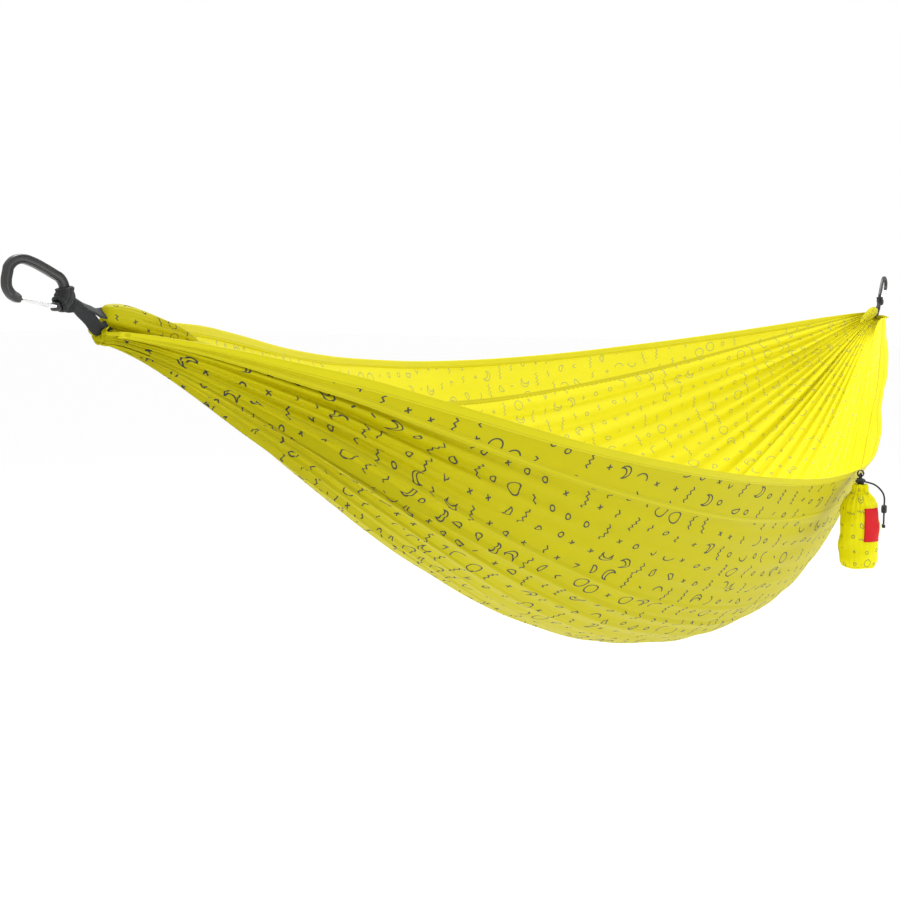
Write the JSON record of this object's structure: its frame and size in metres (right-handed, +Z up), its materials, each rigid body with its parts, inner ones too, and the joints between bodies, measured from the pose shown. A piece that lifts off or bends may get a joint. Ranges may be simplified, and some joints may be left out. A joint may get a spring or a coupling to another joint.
{
  "type": "camping hammock",
  "caption": "Gathered-end hammock of thin printed nylon with webbing loops, wiregate carabiners and a stuff sack hanging from one hem.",
  "frame": {"origin": "on the inside face of the wide end of the left carabiner, where a tree strap bears", "axes": "+X along the hammock to its other end, +Z up, -Y towards the hem that carries the stuff sack"},
  "size_m": [3.1329, 0.837, 0.6798],
  "materials": {
    "bed_nylon": "thin ripstop-free parachute nylon, lemon yellow with a small dark line print, soft satin sheen, print pale on the inside",
    "sack_nylon": "the same lemon yellow nylon, gathered",
    "webbing": "woven dark grey polyester webbing with cross ribs",
    "forged_alloy": "dark grey anodised forged aluminium, satin",
    "gate_wire": "bright stainless wire",
    "label": "plain red woven label, stitched edge",
    "cord": "black braided cord",
    "lock_plastic": "black moulded plastic",
    "lock_spring": "spring wire"
  },
  "bodies": {
    "bed": {"center_panel_left_end": "bed_nylon", "center_panel_left": "bed_nylon", "center_panel_right": "bed_nylon", "center_panel_right_end": "bed_nylon", "edge_panel_near": "bed_nylon", "edge_panel_far": "bed_nylon", "channel_left": "bed_nylon", "channel_right": "bed_nylon", "strap_left": "webbing", "strap_right": "webbing", "sack_tab": "webbing"},
    "hitch_left": {"hitch_left": "webbing"},
    "carabiner_left": {"carabiner_body_left": "forged_alloy"},
    "gate_left": {"gate_left": "gate_wire"},
    "hitch_right": {"hitch_right": "webbing"},
    "carabiner_right": {"carabiner_body_right": "forged_alloy"},
    "gate_right": {"gate_right": "gate_wire"},
    "stuff_sack": {"hang_loop": "cord", "hang_knot": "cord", "sack_collar": "sack_nylon", "sack_body": "sack_nylon", "sack_base": "sack_nylon", "sack_label": "label", "drawcord": "cord", "tail_knot": "cord"},
    "cord_lock": {"cord_lock_barrel": "lock_plastic", "cord_lock_spring": "lock_spring"},
    "lock_button": {"cord_lock_button": "lock_plastic"}
  },
  "joints": [
    {"name": "webbing_twist_left", "type": "hinge", "parent": "bed", "child": "hitch_left", "pos_m": [0.07915, 0, -0.02805], "axis": [0.901, 0, -0.4337], "range_deg": [-60, 60], "stiffness_Nm_per_rad": 0.05},
    {"name": "carabiner_swivel_left", "type": "hinge", "parent": "hitch_left", "child": "carabiner_left", "pos_m": [0.05162, 0, -0.0148], "axis": [0, 1, 0], "range_deg": [-20, 20], "stiffness_Nm_per_rad": 0.4},
    {"name": "gate_hinge_left", "type": "hinge", "parent": "carabiner_left", "child": "gate_left", "pos_m": [0.04884, 0, -0.02919], "axis": [0, 1, 0], "range_deg": [0, 24], "stiffness_Nm_per_rad": 0.15, "springref_deg": -20.05},
    {"name": "webbing_twist_right", "type": "hinge", "parent": "bed", "child": "hitch_right", "pos_m": [3.04952, 0, -0.06094], "axis": [-0.788, 0, -0.6157], "range_deg": [-60, 60], "stiffness_Nm_per_rad": 0.05},
    {"name": "carabiner_swivel_right", "type": "hinge", "parent": "hitch_right", "child": "carabiner_right", "pos_m": [3.07359, 0, -0.04213], "axis": [0, 1, 0], "range_deg": [-20, 20], "stiffness_Nm_per_rad": 0.4},
    {"name": "gate_hinge_right", "type": "hinge", "parent": "carabiner_right", "child": "gate_right", "pos_m": [3.0843, 0, -0.05214], "axis": [0, -1, 0], "range_deg": [0, 24], "stiffness_Nm_per_rad": 0.15, "springref_deg": -20.05},
    {"name": "sack_swing", "type": "hinge", "parent": "bed", "child": "stuff_sack", "pos_m": [1.56645, -0.35916, -0.33016], "axis": [-1, 0, 0], "range_deg": [-5, 60]},
    {"name": "cord_lock_slide", "type": "slide", "parent": "stuff_sack", "child": "cord_lock", "axis": [0, 0, -1], "range_m": [-0.008, 0.015]},
    {"name": "lock_button_press", "type": "slide", "parent": "cord_lock", "child": "lock_button", "axis": [-1, 0, 0], "range_m": [0, 0.0013], "stiffness_N_per_m": 300, "springref_m": -0.003}
  ]
}
